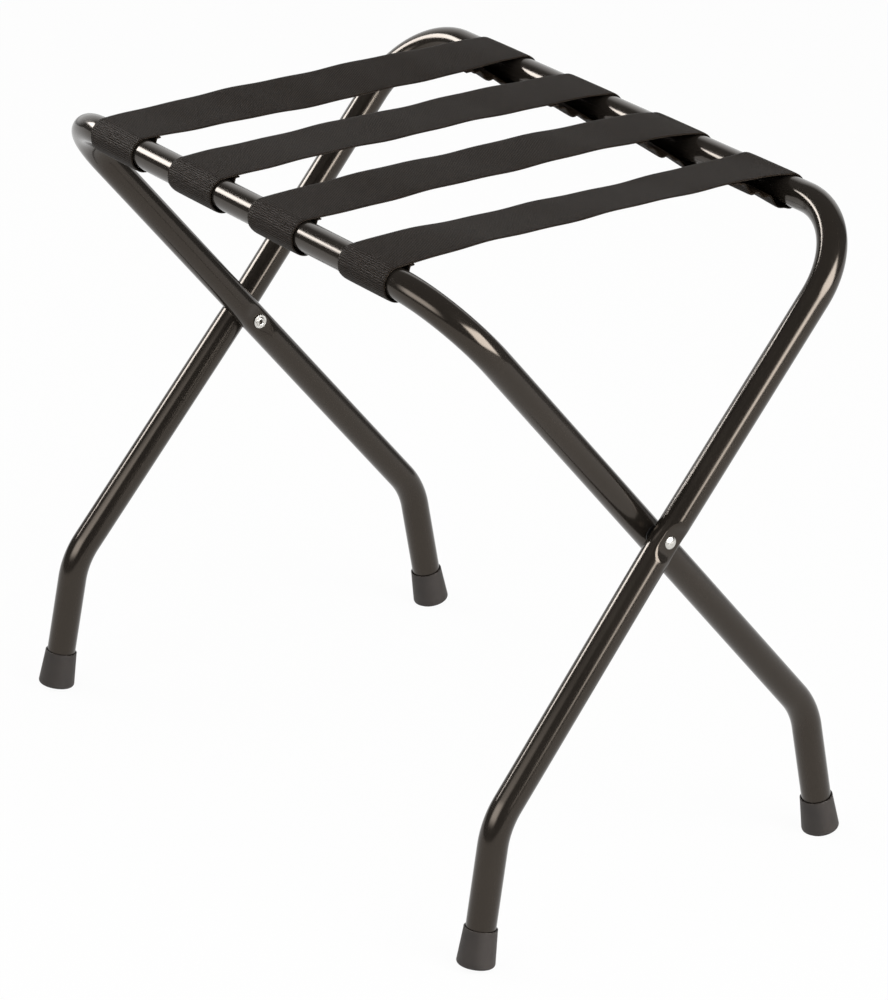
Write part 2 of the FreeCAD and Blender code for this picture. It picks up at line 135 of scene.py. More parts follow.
# %% [markdown]
# ## Gloss black powder coat
#
# The tubes are steel with a baked polyester powder coat. It is a thick plastic-like skin: nearly black,
# glossy enough to mirror a lamp as a crisp strip, with the faint orange peel that powder leaves when it
# flows out. So the base is a warm black, the reflections are tinted a touch warm as well, the roughness is
# low and drifts slowly along the tube, and a very shallow noise bump with dimples about 3 mm apart bends the
# edges of the reflections.

# %% Powder coat
PEEL_PITCH = 3 * MM
PEEL_HEIGHT = 0.001 * MM
HAZE_PER_METRE = 14.0


def powder_coat():
    material, tree = new_material("gloss_black_powder_coat")
    place = add_node(tree, "ShaderNodeTexCoord").outputs["Object"]
    peel = add_node(tree, "ShaderNodeTexNoise", {"Vector": place, "Scale": 1 / PEEL_PITCH, "Detail": 1.0})
    bump = add_node(tree, "ShaderNodeBump", {"Height": peel.outputs["Fac"], "Strength": 1.0,
                                             "Distance": PEEL_HEIGHT})
    haze = add_node(tree, "ShaderNodeTexNoise", {"Vector": place, "Scale": HAZE_PER_METRE, "Detail": 3.0})
    rough = add_node(tree, "ShaderNodeMapRange", {"Value": haze.outputs["Fac"], "From Min": 0.3,
                                                  "From Max": 0.7, "To Min": 0.13, "To Max": 0.17})
    shade = add_node(tree, "ShaderNodeMix", {"Factor": haze.outputs["Fac"], 6: linear("#1d1a17"),
                                             7: linear("#27231f")}, data_type="RGBA")
    shader = add_node(tree, "ShaderNodeBsdfPrincipled", {
        "Base Color": shade.outputs[2], "Roughness": rough.outputs["Result"], "IOR": 1.5,
        "Specular Tint": linear("#ffeedd"), "Normal": bump.outputs["Normal"]})
    add_node(tree, "ShaderNodeOutputMaterial", {"Surface": shader.outputs["BSDF"]})
    return material


POWDER_COAT = powder_coat()
print("made", POWDER_COAT.name)

# %% [markdown]
# ## Black webbing
#
# The straps are heavy polypropylene webbing: thick weft cords lie side by side across the strap and fine
# warp yarns cross over them. The ribs themselves are modelled, so the material only has to paint shade
# into the grooves, lay the fine warp yarns over the ribs and keep the cloth matt. The yarns are drawn
# coarser than real ones, so that they show. The material reads two values that the mesh carries: where a
# point is on the strap, and how high on its rib, which sets the painted shade in the grooves.

# %% Webbing material
RIB_PITCH = 1.6 * MM
YARN_PITCH = 1.3 * MM
YARN_HEIGHT = 0.004 * MM
DYE_PER_METRE = 130.0


def webbing_cloth():
    material, tree = new_material("black_polypropylene_webbing")
    strap = add_node(tree, "ShaderNodeAttribute", attribute_name="strap_place")
    rib = add_node(tree, "ShaderNodeAttribute", attribute_name="rib_height")
    place = add_node(tree, "ShaderNodeSeparateXYZ", {"Vector": strap.outputs["Vector"]})
    turns = add_node(tree, "ShaderNodeMath", {0: place.outputs["X"], 1: 2 * math.pi / YARN_PITCH},
                     operation="MULTIPLY")
    lean = add_node(tree, "ShaderNodeMath", {0: place.outputs["Y"], 1: math.pi / RIB_PITCH},
                    operation="MULTIPLY")
    phase = add_node(tree, "ShaderNodeMath", {0: turns.outputs[0], 1: lean.outputs[0]}, operation="ADD")
    yarn = add_node(tree, "ShaderNodeMath", {0: phase.outputs[0]}, operation="SINE")
    bump = add_node(tree, "ShaderNodeBump", {"Height": yarn.outputs[0], "Strength": 1.0,
                                             "Distance": YARN_HEIGHT})
    patches = add_node(tree, "ShaderNodeTexNoise", {
        "Vector": strap.outputs["Vector"], "Scale": DYE_PER_METRE, "Detail": 6.0, "Roughness": 0.7})
    dye = add_node(tree, "ShaderNodeMix", {"Factor": patches.outputs["Fac"], 6: linear("#120e0a"),
                                           7: linear("#362b21")}, data_type="RGBA")
    # Painted shade: the low part of each rib, in its groove, is darkened towards #060504 as if shadowed.
    painted_groove_shade = add_node(tree, "ShaderNodeMapRange", {"Value": rib.outputs["Fac"], "From Min": 0.35,
                                                   "From Max": 1.0})
    shade = add_node(tree, "ShaderNodeMix", {"Factor": painted_groove_shade.outputs["Result"], 6: linear("#060504"),
                                             7: dye.outputs[2]}, data_type="RGBA")
    shader = add_node(tree, "ShaderNodeBsdfPrincipled", {
        "Base Color": shade.outputs[2], "Roughness": 0.5, "IOR": 1.49, "Specular IOR Level": 0.1,
        "Specular Tint": linear("#fff4ea"), "Normal": bump.outputs["Normal"]})
    add_node(tree, "ShaderNodeOutputMaterial", {"Surface": shader.outputs["BSDF"]})
    return material


WEBBING = webbing_cloth()
print("made", WEBBING.name)

# %% [markdown]
# ## Rubber, zinc and nylon
#
# The tips are moulded rubber, matt and a touch dusty. Rivets and clinch washers are steel with bright zinc
# plate: a metal, so its colour sits in the base and the roughness wanders. The spacers between the legs are
# black nylon, which looks waxy.

# %% Small materials
GRAIN_PITCH, GRAIN_HEIGHT = 0.9 * MM, 0.06 * MM
BLOOM_PER_METRE = 90.0
SPANGLE_PITCH = 1.5 * MM
MOTTLE_PITCH = 2 * MM


def moulded_rubber():
    material, tree = new_material("moulded_black_rubber")
    place = add_node(tree, "ShaderNodeTexCoord").outputs["Object"]
    grain = add_node(tree, "ShaderNodeTexNoise", {"Vector": place, "Scale": 1 / GRAIN_PITCH, "Detail": 3.0})
    bump = add_node(tree, "ShaderNodeBump", {"Height": grain.outputs["Fac"], "Strength": 0.6,
                                             "Distance": GRAIN_HEIGHT})
    bloom = add_node(tree, "ShaderNodeTexNoise", {"Vector": place, "Scale": BLOOM_PER_METRE, "Detail": 3.0})
    shade = add_node(tree, "ShaderNodeMix", {"Factor": bloom.outputs["Fac"], 6: linear("#221d1a"),
                                             7: linear("#332c27")}, data_type="RGBA")
    shader = add_node(tree, "ShaderNodeBsdfPrincipled", {
        "Base Color": shade.outputs[2], "Roughness": 0.58, "IOR": 1.52, "Specular IOR Level": 0.4,
        "Normal": bump.outputs["Normal"]})
    add_node(tree, "ShaderNodeOutputMaterial", {"Surface": shader.outputs["BSDF"]})
    return material


def bright_zinc():
    material, tree = new_material("bright_zinc_plate")
    place = add_node(tree, "ShaderNodeTexCoord").outputs["Object"]
    spangle = add_node(tree, "ShaderNodeTexNoise", {
        "Vector": place, "Scale": 1 / SPANGLE_PITCH, "Detail": 2.0})
    rough = add_node(tree, "ShaderNodeMapRange", {"Value": spangle.outputs["Fac"], "From Min": 0.3,
                                                  "From Max": 0.7, "To Min": 0.2, "To Max": 0.34})
    shade = add_node(tree, "ShaderNodeMix", {"Factor": spangle.outputs["Fac"], 6: linear("#bdbbb6"),
                                             7: linear("#dcdad5")}, data_type="RGBA")
    shader = add_node(tree, "ShaderNodeBsdfPrincipled", {
        "Base Color": shade.outputs[2], "Metallic": 1.0, "Roughness": rough.outputs["Result"]})
    add_node(tree, "ShaderNodeOutputMaterial", {"Surface": shader.outputs["BSDF"]})
    return material


def black_nylon():
    material, tree = new_material("black_nylon")
    place = add_node(tree, "ShaderNodeTexCoord").outputs["Object"]
    mottle = add_node(tree, "ShaderNodeTexNoise", {"Vector": place, "Scale": 1 / MOTTLE_PITCH})
    shade = add_node(tree, "ShaderNodeMix", {"Factor": mottle.outputs["Fac"], 6: linear("#161514"),
                                             7: linear("#211f1e")}, data_type="RGBA")
    shader = add_node(tree, "ShaderNodeBsdfPrincipled", {
        "Base Color": shade.outputs[2], "Roughness": 0.42, "IOR": 1.53})
    add_node(tree, "ShaderNodeOutputMaterial", {"Surface": shader.outputs["BSDF"]})
    return material


RUBBER, ZINC, NYLON = moulded_rubber(), bright_zinc(), black_nylon()
print("made", RUBBER.name, ZINC.name, NYLON.name)

# %% [markdown]
# ## From a tree of nodes to a plain mesh
#
# Geometry Nodes build whatever follows a path. Each tree below is made in the script, with named inputs. A
# helper opens a tree with those inputs, and another runs it on a polyline, keeps the result as a plain mesh
# at the origin, and throws the modifier away.

# %% Geometry Nodes helpers
SOCKETS = {float: "NodeSocketFloat", int: "NodeSocketInt", Vector: "NodeSocketVector",
           bpy.types.Material: "NodeSocketMaterial"}


def new_tree(name, inputs):
    """A Geometry Nodes tree with a geometry input and output and the named inputs, given as name: type."""
    tree = bpy.data.node_groups.new(name, "GeometryNodeTree")
    tree.interface.new_socket(name="Path", in_out="INPUT", socket_type="NodeSocketGeometry")
    for label, kind in inputs.items():
        tree.interface.new_socket(name=label, in_out="INPUT", socket_type=SOCKETS[kind])
    tree.interface.new_socket(name="Piece", in_out="OUTPUT", socket_type="NodeSocketGeometry")
    return tree, add_node(tree, "NodeGroupInput").outputs


def polyline(name, runs, values=None):
    """An object of loose edges through each run of points; values maps an attribute to a number per point."""
    points, edges = [], []
    for run in runs:
        edges += [(len(points) + step, len(points) + step + 1) for step in range(len(run) - 1)]
        points += run
    mesh = bpy.data.meshes.new(name)
    mesh.from_pydata(points, edges, [])
    for label, numbers in (values or {}).items():
        mesh.attributes.new(label, "FLOAT", "POINT").data.foreach_set("value", numbers)
    piece = bpy.data.objects.new(name, mesh)
    bpy.context.scene.collection.objects.link(piece)
    return piece


def grow(path, tree, **inputs):
    """Runs the tree on the path, with spaces in its inputs written as underscores, and keeps a plain mesh."""
    modifier = path.modifiers.new(tree.name, "NODES")
    modifier.node_group = tree
    for item in tree.interface.items_tree:
        label = item.name.replace(" ", "_")
        if item.in_out == "INPUT" and label in inputs:
            modifier[item.identifier] = inputs[label]
    evaluated = path.evaluated_get(bpy.context.evaluated_depsgraph_get())
    mesh = bpy.data.meshes.new_from_object(evaluated)
    path.modifiers.remove(modifier)
    path.data = mesh
    mesh.name = path.name
    print("%s: %d faces" % (path.name, len(mesh.polygons)))
    return path


# %% [markdown]
# ## Where the legs run
#
# Both frames share one side view, mirrored: from the bar a leg runs straight through the pivot to its knee,
# and then turns down to its foot. The outer legs also splay a little below the pivot, so that the rubber
# tips of the two frames pass each other when the bench folds. A small function works the corner points out,
# and both the tubes and the rubber tips use them.

# %% Leg points
def leg_points(side, bar, half_width, knee_splay, foot_splay):
    """Points of a leg's axis; side is -1 left or 1 right, bar is -1 front or 1 rear."""
    knee = Vector((side * (half_width + knee_splay), -bar * KNEE_REACH, KNEE_HEIGHT))
    floor = Vector((side * (half_width + foot_splay), -bar * FOOT_REACH, 0))
    rise = (knee - floor).normalized()
    sole = floor + rise * (SOLE_LIFT / rise.z)
    return {
        "corner": Vector((side * half_width, bar * BAR_REACH, BAR_HEIGHT)),
        "pivot": Vector((side * half_width, 0, PIVOT_HEIGHT)),
        "knee": knee, "sole": sole, "rise": rise, "end": sole + rise * TIP_FLOOR}


LEGS = {"inner": [leg_points(side, -1, INNER_HALF, 0, 0) for _, side in SIDES],
        "outer": [leg_points(side, 1, OUTER_HALF, KNEE_SPLAY, FOOT_SPLAY) for _, side in SIDES]}
print("an inner sole is %.1f mm from the middle" % (LEGS["inner"][1]["sole"].x / MM))
print("an outer sole is %.1f mm from the middle" % (LEGS["outer"][1]["sole"].x / MM))

# %% [markdown]
# ## The bent tubes
#
# A tube bender makes each frame from one length of tube, and a press then squeezes a flat into each leg
# where the rivet goes. The tree copies both steps. It rounds the corners of a polyline by the bend radius
# that each point carries, sweeps a circle along it, and then pushes the skin back to the press tool: a flat
# nose with rounded ends that lies across the leg. A smooth minimum leaves the soft rim that pressed metal
# has, which a boolean cut wouldn't.

# %% Tree for a bent and pressed tube
BEND_POINTS = 40


def bent_tube_tree():
    tree, given = new_tree("bent_tube", {
        "Tube Radius": float, "Step": float, "Sides": int, "Leg Half": float, "Pivot": Vector,
        "Leg Direction": Vector, "Facing": float, "Press Depth": float, "Press Land": float,
        "Press Nose": float, "Press Rim": float, "Finish": bpy.types.Material})
    curve = add_node(tree, "GeometryNodeMeshToCurve", {"Mesh": given["Path"]})
    bend = add_node(tree, "GeometryNodeInputNamedAttribute", {"Name": "bend"})
    bent = add_node(tree, "GeometryNodeFilletCurve", {
        "Curve": curve.outputs["Curve"], "Count": BEND_POINTS, "Radius": bend.outputs["Attribute"]},
        mode="POLY")
    even = add_node(tree, "GeometryNodeResampleCurve", {
        "Curve": bent.outputs["Curve"], "Length": given["Step"]}, mode="LENGTH")
    ring = add_node(tree, "GeometryNodeCurvePrimitiveCircle", {
        "Resolution": given["Sides"], "Radius": given["Tube Radius"]})
    tube = add_node(tree, "GeometryNodeCurveToMesh", {
        "Curve": even.outputs["Curve"], "Profile Curve": ring.outputs["Curve"], "Fill Caps": True})

    # Distance along the leg from the rivet, and height of the skin above the leg's axis on the pressed side.
    place = add_node(tree, "GeometryNodeInputPosition").outputs["Position"]
    axes = add_node(tree, "ShaderNodeSeparateXYZ", {"Vector": place}).outputs
    from_pivot = add_node(tree, "ShaderNodeVectorMath", {0: place, 1: given["Pivot"]}, operation="SUBTRACT")
    along = add_node(tree, "ShaderNodeVectorMath", {
        0: from_pivot.outputs["Vector"], 1: given["Leg Direction"]}, operation="DOT_PRODUCT")
    reach = add_node(tree, "ShaderNodeMath", {0: along.outputs["Value"]}, operation="ABSOLUTE")
    width = add_node(tree, "ShaderNodeMath", {0: axes["X"]}, operation="ABSOLUTE")
    offset = add_node(tree, "ShaderNodeMath", {0: width.outputs[0], 1: given["Leg Half"]},
                      operation="SUBTRACT")
    height = add_node(tree, "ShaderNodeMath", {0: offset.outputs[0], 1: given["Facing"]},
                      operation="MULTIPLY")

    # The tool's nose: flat for the land, then a quarter circle up at each end.
    land = add_node(tree, "ShaderNodeMath", {0: given["Press Land"], 1: 0.5}, operation="MULTIPLY")
    beyond = add_node(tree, "ShaderNodeMath", {0: reach.outputs[0], 1: land.outputs[0]}, operation="SUBTRACT")
    beyond = add_node(tree, "ShaderNodeMath", {0: beyond.outputs[0], 1: 0.0}, operation="MAXIMUM")
    beyond = add_node(tree, "ShaderNodeMath", {0: beyond.outputs[0], 1: 2.0}, operation="POWER")
    square = add_node(tree, "ShaderNodeMath", {0: given["Press Nose"], 1: 2.0}, operation="POWER")
    drop = add_node(tree, "ShaderNodeMath", {0: square.outputs[0], 1: beyond.outputs[0]},
                    operation="SUBTRACT")
    drop = add_node(tree, "ShaderNodeMath", {0: drop.outputs[0], 1: 0.0}, operation="MAXIMUM")
    drop = add_node(tree, "ShaderNodeMath", {0: drop.outputs[0]}, operation="SQRT")
    nose = add_node(tree, "ShaderNodeMath", {0: given["Press Nose"], 1: drop.outputs[0]},
                    operation="SUBTRACT")
    level = add_node(tree, "ShaderNodeMath", {0: given["Tube Radius"], 1: given["Press Depth"]},
                     operation="SUBTRACT")
    tool = add_node(tree, "ShaderNodeMath", {0: level.outputs[0], 1: nose.outputs[0]}, operation="ADD")

    # The skin is pushed back to the tool, only where the tool is.
    skin = add_node(tree, "ShaderNodeMath", {0: height.outputs[0], 1: tool.outputs[0], 2: given["Press Rim"]},
                    operation="SMOOTH_MIN")
    skin = add_node(tree, "ShaderNodeMath", {0: skin.outputs[0], 1: given["Facing"]}, operation="MULTIPLY")
    skin = add_node(tree, "ShaderNodeMath", {0: skin.outputs[0], 1: given["Leg Half"]}, operation="ADD")
    side = add_node(tree, "ShaderNodeMath", {0: axes["X"]}, operation="SIGN")
    skin = add_node(tree, "ShaderNodeMath", {0: skin.outputs[0], 1: side.outputs[0]}, operation="MULTIPLY")
    pressed = add_node(tree, "ShaderNodeCombineXYZ", {"X": skin.outputs[0], "Y": axes["Y"], "Z": axes["Z"]})
    tool_end = add_node(tree, "ShaderNodeMath", {0: land.outputs[0], 1: given["Press Nose"]}, operation="ADD")
    under_tool = add_node(tree, "ShaderNodeMath", {0: reach.outputs[0], 1: tool_end.outputs[0]},
                          operation="LESS_THAN")
    shaped = add_node(tree, "GeometryNodeSetPosition", {
        "Geometry": tube.outputs["Mesh"], "Selection": under_tool.outputs[0],
        "Position": pressed.outputs["Vector"]})

    smooth = add_node(tree, "GeometryNodeSetShadeSmooth", {"Geometry": shaped.outputs["Geometry"]})
    real = add_node(tree, "GeometryNodeRealizeInstances", {"Geometry": smooth.outputs["Geometry"]})
    done = add_node(tree, "GeometryNodeSetMaterial", {
        "Geometry": real.outputs["Geometry"], "Material": given["Finish"]})
    add_node(tree, "NodeGroupOutput", {"Piece": done.outputs["Geometry"]})
    return tree


BENT_TUBE = bent_tube_tree()
print("the tube tree has %d nodes" % len(BENT_TUBE.nodes))

# %% [markdown]
# The two frames differ in width, in the side that is pressed and in the tool. The rivet's head needs a
# deep, short dent in the outer leg. The clinch washer only needs a shallow seat on the inside of the inner
# one.

# %% Both frames
TUBE_STEP = 1.6 * MM
TUBE_SIDES = 72
PRESS_LAND = 10 * MM
FRAMES = {
    "inner": {"facing": -1.0, "half": INNER_HALF, "depth": SEAT_DEPTH, "nose": 24 * MM, "rim": 3.5 * MM},
    "outer": {"facing": 1.0, "half": OUTER_HALF, "depth": DENT_DEPTH, "nose": 12.6 * MM, "rim": 3.2 * MM},
}


def bent_frame(name, facing, half, depth, nose, rim):
    left, right = LEGS[name]
    route = [left["end"], left["knee"], left["pivot"], left["corner"],
             right["corner"], right["pivot"], right["knee"], right["end"]]
    bends = [0, KNEE_BEND, 0, CORNER_BEND, CORNER_BEND, 0, KNEE_BEND, 0]
    path = polyline(name + "_tube", [route], {"bend": bends})
    tube = grow(path, BENT_TUBE, Tube_Radius=TUBE_RADIUS, Step=TUBE_STEP, Sides=TUBE_SIDES, Leg_Half=half,
                Pivot=(0, 0, PIVOT_HEIGHT), Leg_Direction=(left["corner"] - left["pivot"]).normalized()[:],
                Facing=facing, Press_Depth=depth, Press_Land=PRESS_LAND, Press_Nose=nose,
                Press_Rim=rim, Finish=POWDER_COAT)
    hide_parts(name + "_frame")
    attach(tube, name + "_frame")
    return tube


for name, choice in FRAMES.items():
    bent_frame(name, **choice)

# %% [markdown]
# ## The webbing
#
# Each strap is one ribbon. It starts as a lap sewn under the strap, drops to the underside of its bar,
# wraps round the outside, crosses over the top to the other bar, and ends the same way there. Webbing this
# thick is stiff: it arches a little between the bars, twists where it was sewn slightly askew, and its
# lower layer hangs away from the bar. Each strap here has its own measures for that, so the four don't look
# stamped out.
#
# The ribbon's middle line is worked out in the side view, as a list of points. The two long edges of the
# span are given by their height in front, in the middle and at the back, which also gives the twist.

# %% How each strap lies
STRAP_WIDTH = 57.5 * MM
STRAP_THICK = 1.5 * MM
WRAP_GAP = 0.3 * MM
LAP_GAP = 0.12 * MM
WRAP_RADIUS = TUBE_RADIUS + WRAP_GAP + STRAP_THICK / 2
RIPPLE_PITCH = 12.5 * MM
RIB_DEPTH = 0.38 * MM
LAP_STEPS, FLOW_STEPS, TOP_STEPS, SPAN_STEPS = 24, 10, 16, 80
CRUMPLE_TILT = 40  # radians of tilt for each metre that the crumple rises

# Side view of the two kinds of loop, from the seam round the underside of the bar: millimetres outwards and
# up from the bar's axis. The front loop was sewn tight. The rear one has slack, so it hangs in a crumpled
# slope that falls towards its right edge. Both are drawn partly inside the tube, by up to 2 mm, where a real
# strap would only press on it: the front one on the inner side of the bar, and the rear one underneath.
LOOPS = {
    -1: {"seam": 9.6 * MM, "lap": 3.5 * MM, "droop": 0.0, "ripple": 0.0, "route": (
        (-8.6, 7.4), (-10.0, 4.0), (-10.8, -1.6), (-8.6, -8.6), (-2.0, -13.0), (5.4, -11.9),
        (11.0, -6.0))},
    1: {"seam": 47 * MM, "lap": 7 * MM, "droop": 2.6 * MM, "ripple": 0.8 * MM, "route": (
        (-42, 8.4), (-36, 3.2), (-27, -0.4), (-19, -3.6), (-12.6, -9.8), (-7, -13.6), (0.5, -14.2),
        (8, -10.6), (12, -4.6))},
}

# Where the middle of each strap crosses the front and the rear bar, the rise of its left and right edge
# above a taut strap in front, in the middle and behind, and how much lower than usual its two loops hang.
# Millimetres.
STRAPS = [
    {"cross": (-161, -161), "left": (1.2, 2.2, 1.0), "right": (0.6, -2.6, 0.6), "slack": (0.0, 0.8)},
    {"cross": (-54, -51), "left": (1.0, 2.0, 2.6), "right": (1.8, 2.4, 2.8), "slack": (0.3, 0.0)},
    {"cross": (52.5, 60), "left": (1.8, 3.6, 4.4), "right": (-0.2, 3.4, 5.4), "slack": (0.6, 0.6)},
    {"cross": (167.5, 169), "left": (2.2, -0.8, -0.8), "right": (2.8, 3.8, 4.4), "slack": (-0.2, -0.6)},
]
print("%d straps, %.1f mm wide" % (len(STRAPS), STRAP_WIDTH / MM))

# %% [markdown]
# The long edges of the span come first. Each follows a smooth curve through its three heights and carries a
# faint wave, because a sewn strap never lies quite straight. A wave is given by its height in millimetres,
# its angle between the middle and a bar in radians, and its shift in radians for each millimetre that the
# edge rises, in the middle for the first wave and at the back for the second, so that the edges don't match.
# Together the two edges give the height of the ribbon's middle and its tilt.

# %% Edges of the span
WAVES = ((0.5, 9, 5), (0.25, 21, 3))
FADE_POWER = 6


def through(values, spot):
    """Smooth curve through three values at -1, 0 and 1."""
    first, middle, last = values
    return middle + (last - first) / 2 * spot + ((first + last) / 2 - middle) * spot * spot


def edge_rise(values, y):
    """Rise of one long edge above the taut line, with a faint wave; it fades to nothing over each bar."""
    share = y / BAR_REACH
    wave = sum(height * math.sin(angle * share + shift * rise)
               for (height, angle, shift), rise in zip(WAVES, values[1:]))
    return (through(values, share) + wave) * MM * (1 - share ** FADE_POWER)


def span_height(strap, y):
    """Height of the ribbon's middle, and its tilt, at this distance from the middle plane."""
    left, right = edge_rise(strap["left"], y), edge_rise(strap["right"], y)
    return BAR_HEIGHT + WRAP_RADIUS + (left + right) / 2, math.atan2(left - right, STRAP_WIDTH)


for number, strap in enumerate(STRAPS, 1):
    rise = span_height(strap, 0)[0] - BAR_HEIGHT
    print("strap %d is %.1f mm above the bar axes halfway" % (number, rise / MM))

# %% [markdown]
# Each end loops round its bar. The points run from the cut end of the lap to the seam, close under the span,
# then through the slack of the loop below and outside the bar, and end with a quarter turn up to the top of
# the wrap. One smooth curve passes through all the points of the loop. The whole line is then one end, the
# span, and the other end backwards.

# %% Middle line of a strap
def flowing(points, steps):
    """Points of a smooth curve that passes through all the given ones."""
    line = []
    padded = [2 * points[0] - points[1]] + points + [2 * points[-1] - points[-2]]
    for before, start, end, after in zip(padded, padded[1:], padded[2:], padded[3:]):
        for step in range(steps):
            t = step / steps
            line.append(0.5 * (2 * start + (end - before) * t
                               + (2 * before - 5 * start + 4 * end - after) * t ** 2
                               + (3 * start - before - 3 * end + after) * t ** 3))
    return line + [points[-1]]


def loop_side(strap, bar):
    """One end, from the cut end of the lap round the bar to the top: (y, z, tilt) points."""
    loop = LOOPS[bar]
    slack = strap["slack"][(bar + 1) // 2] * MM
    points = []
    for step in range(LAP_STEPS + 1):
        across = BAR_REACH - loop["seam"] - loop["lap"] * (1 - step / LAP_STEPS)
        height, tilt = span_height(strap, bar * across)
        points.append((bar * across, height - STRAP_THICK - LAP_GAP, -tilt))
    seam = Vector((-loop["seam"], points[-1][1] - BAR_HEIGHT))
    route = [Vector(spot) * MM for spot in loop["route"]]
    hanging = [spot - Vector((0, slack * math.sin(math.pi * (rank + 1) / (len(route) + 1))))
               for rank, spot in enumerate(route)]
    quarter = [Vector((math.cos(turn), math.sin(turn))) * WRAP_RADIUS
               for turn in [math.radians(90) * step / TOP_STEPS for step in range(TOP_STEPS + 1)]]
    line = flowing([seam] + hanging + [quarter[0]], FLOW_STEPS) + quarter[1:]
    for number, spot in enumerate(line[1:], 1):
        loose = max(0.0, 1 - number / (len(line) - TOP_STEPS))
        crumple = loop["ripple"] * math.sin(2 * math.pi * spot.x / RIPPLE_PITCH + strap["cross"][0])
        lifted = loop["droop"] * math.sin(math.pi * loose)
        tilt = (points[LAP_STEPS][2] + CRUMPLE_TILT * crumple) * loose - math.atan2(lifted, STRAP_WIDTH / 2)
        points.append((bar * (BAR_REACH + spot.x), BAR_HEIGHT + spot.y + crumple * loose + lifted, tilt))
    return points


def strap_line(strap):
    """Middle line of the whole ribbon, as points in space, and the tilt at each."""
    front, rear = loop_side(strap, -1), loop_side(strap, 1)
    span = []
    for step in range(1, SPAN_STEPS):
        y = BAR_REACH * (2 * step / SPAN_STEPS - 1)
        height, tilt = span_height(strap, y)
        span.append((y, height, tilt))
    first, last = strap["cross"]
    line, tilts = [], []
    for y, z, tilt in front + span + rear[::-1]:
        share = min(max((y / BAR_REACH + 1) / 2, 0), 1)
        line.append(Vector(((first + (last - first) * share) * MM, y, z)))
        tilts.append(tilt)
    return line, tilts


print("a strap's line has %d points" % len(strap_line(STRAPS[0])[0]))

# %% [markdown]
# The tree turns such a line into webbing. It divides the line into whole ribs, each with the same number of
# rows, so that every groove falls on a row and the ribs stay even from end to end. The section is a
# superellipse, flat across and round at the selvedges. Then each row moves in or out along the surface by
# the height of its rib.

# %% Tree for ribbed webbing
SECTION = (("X", "Width", 0.62), ("Y", "Thickness", 0.2))  # axis, size along it and power of the superellipse
MEAN_ARCH = 0.64
SELVEDGE_RIB = 0.25
SELVEDGE_START = 0.47  # share of the width, measured from the middle


